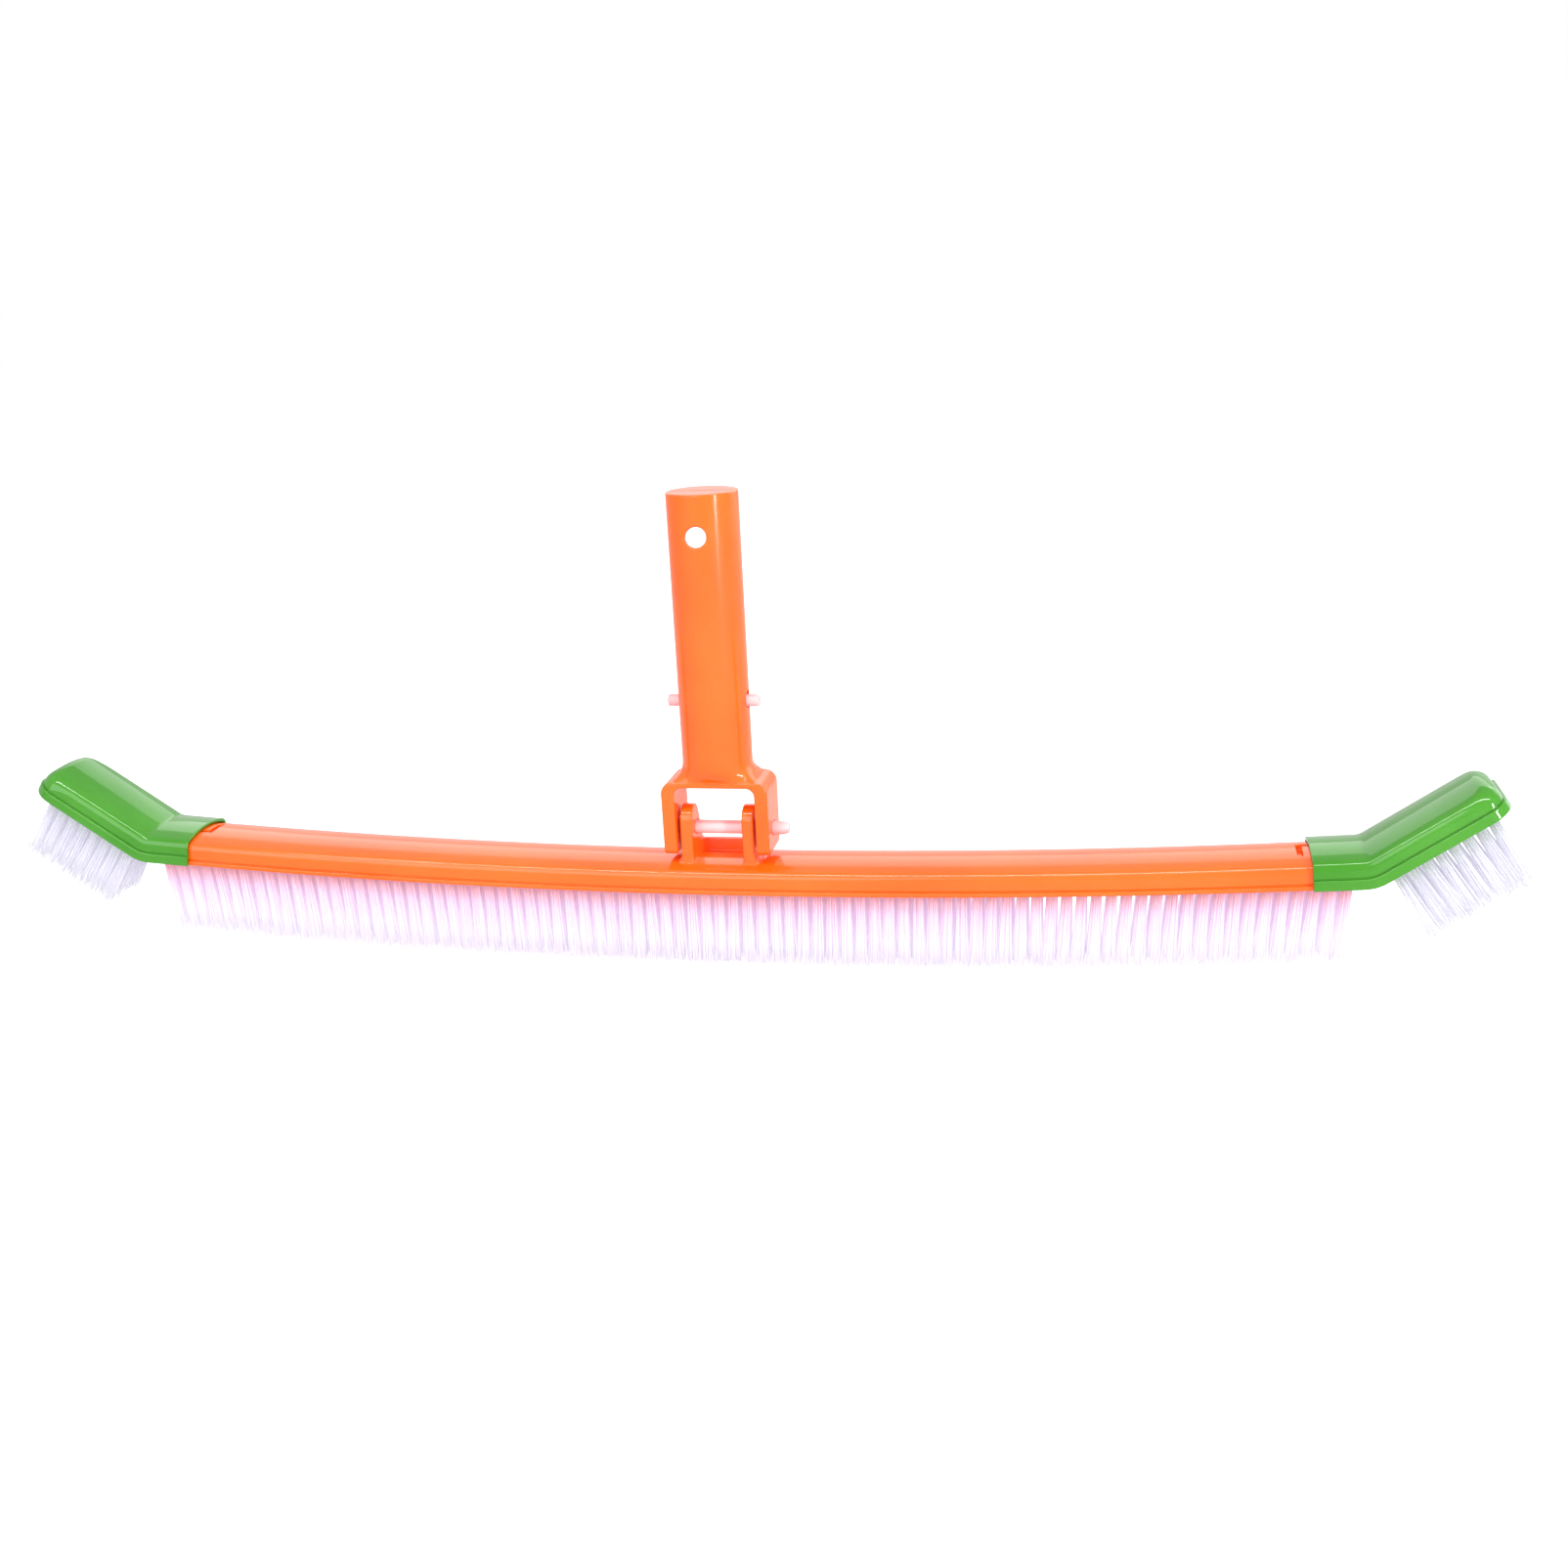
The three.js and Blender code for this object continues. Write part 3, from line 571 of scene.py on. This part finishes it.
def socket_field(x, y, z):
    """Round tube whose foot spreads in a concave sweep onto the yoke's flat top."""
    rise = np.clip((z - YOKE_RISE) / FLARE_HEIGHT, 0, 1)
    share = (1 - rise) ** FLARE_SWEEP
    foot = rounded_rect(x, y, FLARE_HALF_WIDTH, YOKE_HALF_DEPTH - 0.15, FLARE_CORNER)
    tube = np.hypot(x, y) - TUBE_RADIUS
    return np.maximum(tube * (1 - share) + foot * share, YOKE_RISE - FLARE_OVERLAP - z)


def handle_field(x, y, z):
    tube = common(socket_field(x, y, z), z - TUBE_TOP, 0.7)
    parting = np.maximum(np.abs(x) - PARTING_HALF_LENGTH, TUBE_TOP - PARTING_DEPTH - z)
    parting = np.maximum(np.abs(y) - PARTING_HALF_WIDTH, parting)
    tube = cut(tube, parting, 0.1)
    whole = union(tube, yoke_field(x, y, z), 0.2)
    bore = np.maximum(np.hypot(x, y) - BORE_RADIUS, between(z, BORE_LOW, BORE_HIGH))
    slot_half = LEG_MIDDLE + CLIP_THICKNESS / 2 + 0.8
    slot = np.maximum(rounded_rect(x, y, slot_half, CLIP_WIDTH / 2 + 0.8, 0.5), between(z, 10, BORE_LOW + 1))
    whole = cut(whole, np.minimum(bore, slot), 0.3)
    rise = z - TUBE_TOP + POLE_HOLE_DEPTH
    inward = y + TUBE_RADIUS
    level = inward * math.cos(POLE_HOLE_TURN) - x * math.sin(POLE_HOLE_TURN)
    aside = x * math.cos(POLE_HOLE_TURN) + inward * math.sin(POLE_HOLE_TURN)
    above = rise * math.cos(POLE_HOLE_TILT) + level * math.sin(POLE_HOLE_TILT)
    whole = cut(whole, np.hypot(aside, above) - POLE_HOLE_RADIUS, 0.4)
    swing = np.clip(z - BUTTON_HEIGHT, 0, BUTTON_SWING)
    whole = cut(whole, np.hypot(y, z - BUTTON_HEIGHT - swing) - BUTTON_HOLE_RADIUS, 0.3)
    whole = cut(whole, np.hypot(y, z) - PIN_HOLE_RADIUS, 0.3)
    recess = np.maximum(np.hypot(y, z) - PIN_HEAD_RADIUS - CLEARANCE,
                        x + ARM_OUTER - PIN_HEAD_THICKNESS - CLEARANCE)
    return cut(whole, recess, 0.25)


def build_handle():
    grid = (
        mirrored((15.6, 0.5), (22.8, 0.36)),
        mirrored((9.6, 0.5), (15, 0.36)),
        graded(-9.8, (-5, 0.36), (15, 0.5), (33, 0.36), (49, 1.6), (60, 0.4), (114, 3), (128, 0.45),
               (133, 1.2), (138.2, 0.26)),
    )
    points, quads = surface(handle_field, grid)
    return make_piece("handle_moulding", points + (0, 0, HINGE_Z), quads, "handle", ["handle"], ORANGE)


# ---------------------------------------------------------------- pin and clip

def pin_field(x, y, z):
    r = np.hypot(y, z)
    tip = ARM_OUTER + PIN_TIP_LENGTH
    shaft = common(r - PIN_RADIUS, between(x, -ARM_OUTER, tip), 0.3)
    taper = r - PIN_RADIUS - (tip - 2.2 - x) * 0.42
    shaft = common(shaft, taper, 0.5)
    head = common(r - PIN_HEAD_RADIUS, between(x, -ARM_OUTER, -ARM_OUTER + PIN_HEAD_THICKNESS), 0.4)
    return union(shaft, head, 0.3)


def leg_field(x, y, z):
    top = BUTTON_HEIGHT + 4.5
    half_height = (top - CLIP_PIVOT + 1) / 2
    bar = rounded_rect(x - LEG_MIDDLE, z - (top + CLIP_PIVOT - 1) / 2, 1, half_height, 1)
    bar = common(bar, np.abs(y) - CLIP_WIDTH / 2, 0.4)
    button = common(np.hypot(y, z - BUTTON_HEIGHT) - BUTTON_RADIUS,
                    between(x, LEG_MIDDLE, TUBE_RADIUS + BUTTON_PROUD), 0.6)
    dimple = np.hypot(y, z - BUTTON_HEIGHT) - 1.1
    dimple = np.maximum(dimple, TUBE_RADIUS + BUTTON_PROUD - 0.4 - x)
    return cut(union(bar, button, 0.4), dimple, 0.15)


def bend_field(x, y, z):
    height = CLIP_PIVOT - CLIP_THICKNESS / 2 - CLEARANCE
    ring = np.abs(np.hypot(x, z - height) - LEG_MIDDLE) - CLIP_THICKNESS / 2
    return common(common(ring, z - height, 0.2), np.abs(y) - CLIP_WIDTH / 2, 0.35)


def build_pin_and_clip():
    tip = ARM_OUTER + PIN_TIP_LENGTH
    grid = (
        graded(-22.6, (-20, 0.2), (tip - 3.4, 0.9), (tip + 0.5, 0.2)),
        mirrored((4.6, 0.26)),
        mirrored((4.6, 0.26)),
    )
    points, quads = surface(pin_field, grid)
    make_piece("pin_turned", points + (0, 0, HINGE_Z), quads, "handle", ["hinge_pin"], NYLON)
    grid = (
        graded(LEG_MIDDLE - 1.6, (LEG_MIDDLE + 1.6, 0.26), (17.4, 0.5), (19.4, 0.22)),
        mirrored((3.4, 0.3), (4.6, 0.22)),
        graded(CLIP_PIVOT - 1.8, (CLIP_PIVOT, 0.3), (50, 1.2), (57, 0.26), (58.8, 0.26)),
    )
    points, quads = surface(leg_field, grid)
    for side, shape in (("right", points), ("left", half_turned(points))):
        body = f"clip_leg_{side}"
        make_piece(f"clip_{side}_button", shape + (0, 0, HINGE_Z), quads, body, [body], NYLON)
    grid = (mirrored((11, 0.3)), mirrored((3.4, 0.6), (4.6, 0.22)), graded(19.6, (31.4, 0.3)))
    points, quads = surface(bend_field, grid)
    make_piece("clip_bend_ring", points + (0, 0, HINGE_Z), quads, "handle", ["clip_bend"], NYLON)


# ---------------------------------------------------------------- bristles

FILAMENT_RADIUS = 0.2
FILAMENTS_PER_TUFT = 38
FILAMENT_SIDES = 3
FILAMENT_STATIONS = (0.0, 0.3, 0.65, 1.0)
GOLDEN_ANGLE = math.pi * (3 - math.sqrt(5))


def tuft(dice, root, down, across, length, spread):
    """One tuft of nylon filaments, packed at its root and spread at its tips.
    spread is how far the tips lie apart, as multiples of the root, along the row and across it."""
    points = []
    faces = []
    depths = []
    side_way = down.cross(across)
    lean_along = dice.gauss(0, 0.35)
    lean_across = dice.gauss(0, 0.35)
    for i in range(FILAMENTS_PER_TUFT):
        radius = TUFT_RADIUS * math.sqrt((i + 0.5) / FILAMENTS_PER_TUFT) - 0.1
        turn = i * GOLDEN_ANGLE + dice.uniform(-0.15, 0.15)
        u, v = radius * math.cos(turn), radius * math.sin(turn)
        tip_u = u * spread[0] + lean_along + dice.gauss(0, 0.22)
        tip_v = v * spread[1] + lean_across + dice.gauss(0, 0.22)
        bow = dice.gauss(0, 0.12)
        own_length = length * (1 - abs(dice.gauss(0, 0.008)))
        first = len(points)
        for t in FILAMENT_STATIONS:
            flow = t**1.35
            du = u + (tip_u - u) * flow + bow * math.sin(math.pi * t)
            dv = v + (tip_v - v) * flow
            centre = root + down * (own_length * t) + across * du + side_way * dv
            width = FILAMENT_RADIUS * (1 if t < 1 else 0.7)
            for k in range(FILAMENT_SIDES):
                a = 2 * math.pi * k / FILAMENT_SIDES + turn
                points.append(centre + across * (width * math.cos(a)) + side_way * (width * math.sin(a)))
                depths.append(t)
        rings = len(FILAMENT_STATIONS)
        for ring in range(rings - 1):
            base = first + ring * FILAMENT_SIDES
            for k in range(FILAMENT_SIDES):
                after = (k + 1) % FILAMENT_SIDES
                above = base + FILAMENT_SIDES
                faces.append((base + k, base + after, above + after, above + k))
        last = first + (rings - 1) * FILAMENT_SIDES
        faces.append(tuple(first + k for k in reversed(range(FILAMENT_SIDES))))
        faces.append(tuple(last + k for k in range(FILAMENT_SIDES)))
    return points, faces, depths


def build_tufts(name, node, tufts, material):
    points = []
    faces = []
    depths = []
    for tuft_points, tuft_faces, tuft_depths in tufts:
        base = len(points)
        points += tuft_points
        faces += [tuple(base + k for k in face) for face in tuft_faces]
        depths += tuft_depths
    mesh = bpy.data.meshes.new(name)
    mesh.from_pydata([p * MM for p in points], [], faces)
    mesh.attributes.new("depth", "FLOAT", "POINT").data.foreach_set("value", depths)
    mesh.polygons.foreach_set("use_smooth", [len(p.vertices) == 4 for p in mesh.polygons])
    mesh.materials.append(material)
    piece = bpy.data.objects.new(name, mesh)
    bpy.context.scene.collection.objects.link(piece)
    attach(piece, "head")
    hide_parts(node)


def row_depths(spacing):
    return [(row - (ROW_COUNT - 1) / 2) * spacing for row in range(ROW_COUNT)]


def build_main_bristles():
    dice = random.Random(11)
    section_length = TUFTS_PER_SECTION * TUFT_PITCH
    for section in range(SECTION_COUNT):
        middle = (section - (SECTION_COUNT - 1) / 2) * section_length
        for row, depth in enumerate(row_depths(ROW_SPACING)):
            tufts = []
            for i in range(TUFTS_PER_SECTION):
                x = middle + (i - (TUFTS_PER_SECTION - 1) / 2) * TUFT_PITCH
                rise = ARC_RADIUS - math.sqrt(ARC_RADIUS**2 - x * x)
                root = Vector((x, depth, UNDERSIDE_Z + rise - CLEARANCE))
                down = Vector((-x / TUFT_FOCUS, 0, -1)).normalized()
                across = Vector((0, 1, 0)).cross(down)
                tufts.append(tuft(dice, root, down, across, TUFT_LENGTH - CLEARANCE, (1.62, 1.8)))
            name = f"row_{row + 1}_section_{section + 1}"
            build_tufts(f"tufts_{name}", f"bristle_{name}", tufts, MAIN_BRISTLE)


def build_cap_bristles():
    dice = random.Random(23)
    wing = Matrix.Rotation(-BEND_TO, 3, "Y")
    start = from_cap_path(np.array([[WING_LENGTH, 0.0, 0.0]]))[0]
    for side, way in (("right", 1), ("left", -1)):
        turn = Matrix.Diagonal((way, way, 1))
        down = turn @ wing @ Vector((0, 0, -1))
        across = turn @ wing @ Vector((-1, 0, 0))
        for row, depth in enumerate(row_depths(CAP_ROW_SPACING)):
            tufts = []
            for i in range(CAP_TUFT_COUNT):
                along = CAP_TUFT_INSET + i * CAP_TUFT_PITCH
                local = Vector(start) + wing @ Vector((along, depth, -CLEARANCE))
                root = turn @ local + Vector((0, 0, UNDERSIDE_Z))
                tufts.append(tuft(dice, root, down, across, CAP_TUFT_LENGTH - CLEARANCE, (1.75, 1.55)))
            name = f"{side}_row_{row + 1}"
            build_tufts(f"cap_tufts_{name}", f"cap_bristle_{name}", tufts, CAP_BRISTLE)


# ---------------------------------------------------------------- stage

def build_floor():
    """Pale floor that reads as white, and keeps a soft shadow."""
    lowest = cad_box[0].z
    material, tree, shader = new_material("floor_white")
    shader.inputs["Base Color"].default_value = (0.8, 0.8, 0.8, 1)
    shader.inputs["Roughness"].default_value = 0.9
    shader.inputs["Specular IOR Level"].default_value = 0
    glow = tree.nodes.new("ShaderNodeEmission")
    glow.inputs["Color"].default_value = (1, 1, 1, 1)
    glow.inputs["Strength"].default_value = 0.64
    both = tree.nodes.new("ShaderNodeAddShader")
    rays = tree.nodes.new("ShaderNodeLightPath")
    seen = tree.nodes.new("ShaderNodeMixShader")
    tree.links.new(shader.outputs["BSDF"], both.inputs[0])
    tree.links.new(glow.outputs["Emission"], both.inputs[1])
    tree.links.new(rays.outputs["Is Camera Ray"], seen.inputs["Fac"])
    tree.links.new(shader.outputs["BSDF"], seen.inputs[1])
    tree.links.new(both.outputs["Shader"], seen.inputs[2])
    tree.links.new(seen.outputs["Shader"], tree.nodes["Material Output"].inputs["Surface"])
    mesh = bpy.data.meshes.new("floor")
    half = 6.0
    z = lowest - 0.0005
    corners = [(-half, -half, z), (half, -half, z), (half, half, z), (-half, half, z)]
    mesh.from_pydata(corners, [], [(0, 1, 2, 3)])
    mesh.materials.append(material)
    floor = bpy.data.objects.new("floor", mesh)
    bpy.context.scene.collection.objects.link(floor)


def build_world():
    """Even pale studio walls; what the camera sees directly or in a reflection is white."""
    world = bpy.data.worlds.new("studio")
    bpy.context.scene.world = world
    world.use_nodes = True
    tree = world.node_tree
    background = tree.nodes["Background"]
    rays = tree.nodes.new("ShaderNodeLightPath")
    white = tree.nodes.new("ShaderNodeMath")
    white.operation = "MAXIMUM"
    tree.links.new(rays.outputs["Is Camera Ray"], white.inputs[0])
    either = tree.nodes.new("ShaderNodeMath")
    either.operation = "MAXIMUM"
    tree.links.new(rays.outputs["Is Glossy Ray"], either.inputs[0])
    tree.links.new(rays.outputs["Is Transmission Ray"], either.inputs[1])
    tree.links.new(either.outputs["Value"], white.inputs[1])
    strength = remap(tree, white.outputs["Value"], 0, 1, 0.5, 1.0)
    background.inputs["Color"].default_value = (1, 1, 1, 1)
    tree.links.new(strength, background.inputs["Strength"])


def add_softbox(name, azimuth, elevation, distance, width, height, watts):
    """Area lamp that faces the hinge, azimuth measured from the front towards the right."""
    target = Vector((0, 0, UNDERSIDE_Z * MM))
    a, e = math.radians(azimuth), math.radians(elevation)
    way = Vector((math.sin(a) * math.cos(e), -math.cos(a) * math.cos(e), math.sin(e)))
    lamp = bpy.data.lights.new(name, "AREA")
    lamp.shape = "RECTANGLE"
    lamp.size = width
    lamp.size_y = height
    lamp.energy = watts
    light = bpy.data.objects.new(name, lamp)
    light.location = target + way * distance
    light.rotation_mode = "QUATERNION"
    light.rotation_quaternion = way.to_track_quat("Z", "Y")
    bpy.context.scene.collection.objects.link(light)


def build_lamps():
    add_softbox("front_left", -30, 24, 1.6, 1.3, 1.0, 10)
    add_softbox("strip_right", 54, 8, 1.5, 0.14, 1.6, 24)
    add_softbox("top_front", 5, 64, 1.5, 1.8, 0.1, 12)
    add_softbox("rear_right", 128, 20, 1.6, 0.9, 1.2, 6)
    add_softbox("rear_top", 180, 32, 1.8, 2.4, 0.8, 7)


def build_camera():
    """Seen from a little right of the front and from above, with a slight roll."""
    yaw, pitch, roll = math.radians(11.74), math.radians(16.85), math.radians(-2.77)
    target = Vector((26.96, 0, UNDERSIDE_Z + 42.42)) * MM
    distance = 0.6948
    back = Vector((math.sin(yaw) * math.cos(pitch), -math.cos(yaw) * math.cos(pitch), math.sin(pitch)))
    level_right = Vector((math.cos(yaw), math.sin(yaw), 0))
    level_up = back.cross(level_right)
    right = level_right * math.cos(roll) + level_up * math.sin(roll)
    up = level_up * math.cos(roll) - level_right * math.sin(roll)
    data = bpy.data.cameras.new("camera")
    data.lens = 39.43
    data.sensor_width = 36
    camera = bpy.data.objects.new("camera", data)
    place = Matrix((right, up, back)).transposed().to_4x4()
    place.translation = target + back * distance
    camera.matrix_world = place
    bpy.context.scene.collection.objects.link(camera)
    bpy.context.scene.camera = camera


build_camera()
build_world()
build_lamps()
build_floor()
build_back()
build_caps()
build_handle()
build_pin_and_clip()
build_main_bristles()
build_cap_bristles()

bpy.context.scene.view_settings.view_transform = "Standard"
